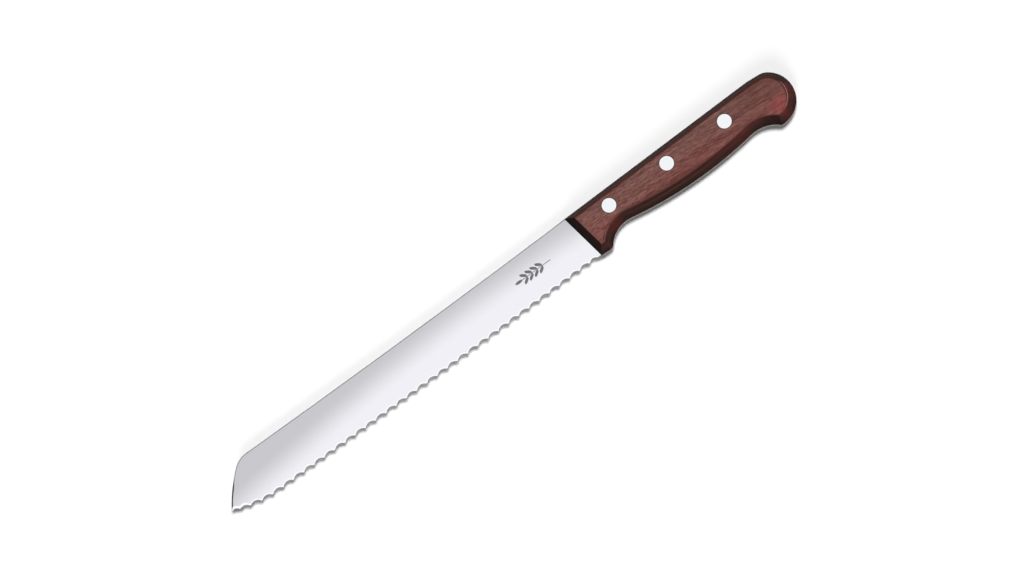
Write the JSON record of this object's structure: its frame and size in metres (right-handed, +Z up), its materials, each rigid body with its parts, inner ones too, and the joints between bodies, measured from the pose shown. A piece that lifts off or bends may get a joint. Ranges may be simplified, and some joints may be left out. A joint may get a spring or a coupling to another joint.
{
  "type": "bread knife",
  "caption": "Bread knife with a scalloped stamped blade, full tang and bevelled wooden handle scales held by flush two-part rivets, lying on its side.",
  "frame": {"origin": "under the middle of the knife's outer box, on the surface that it lies on; the blade's mid-plane is level, 8 mm above it", "axes": "+X along the knife from the blade's tip to the butt, +Y across it from the cutting edge to the spine, +Z up through its left side"},
  "size_m": [0.3296, 0.0268, 0.016],
  "materials": {
    "blade_steel": "satin",
    "handle_wood": "satin",
    "rivet_metal": "polished"
  },
  "bodies": {
    "root": {"blade": "blade_steel", "left_scale": "handle_wood", "right_scale": "handle_wood", "rivet_post_front": "rivet_metal", "rivet_socket_front": "rivet_metal", "rivet_post_middle": "rivet_metal", "rivet_socket_middle": "rivet_metal", "rivet_post_rear": "rivet_metal", "rivet_socket_rear": "rivet_metal"}
  },
  "joints": []
}
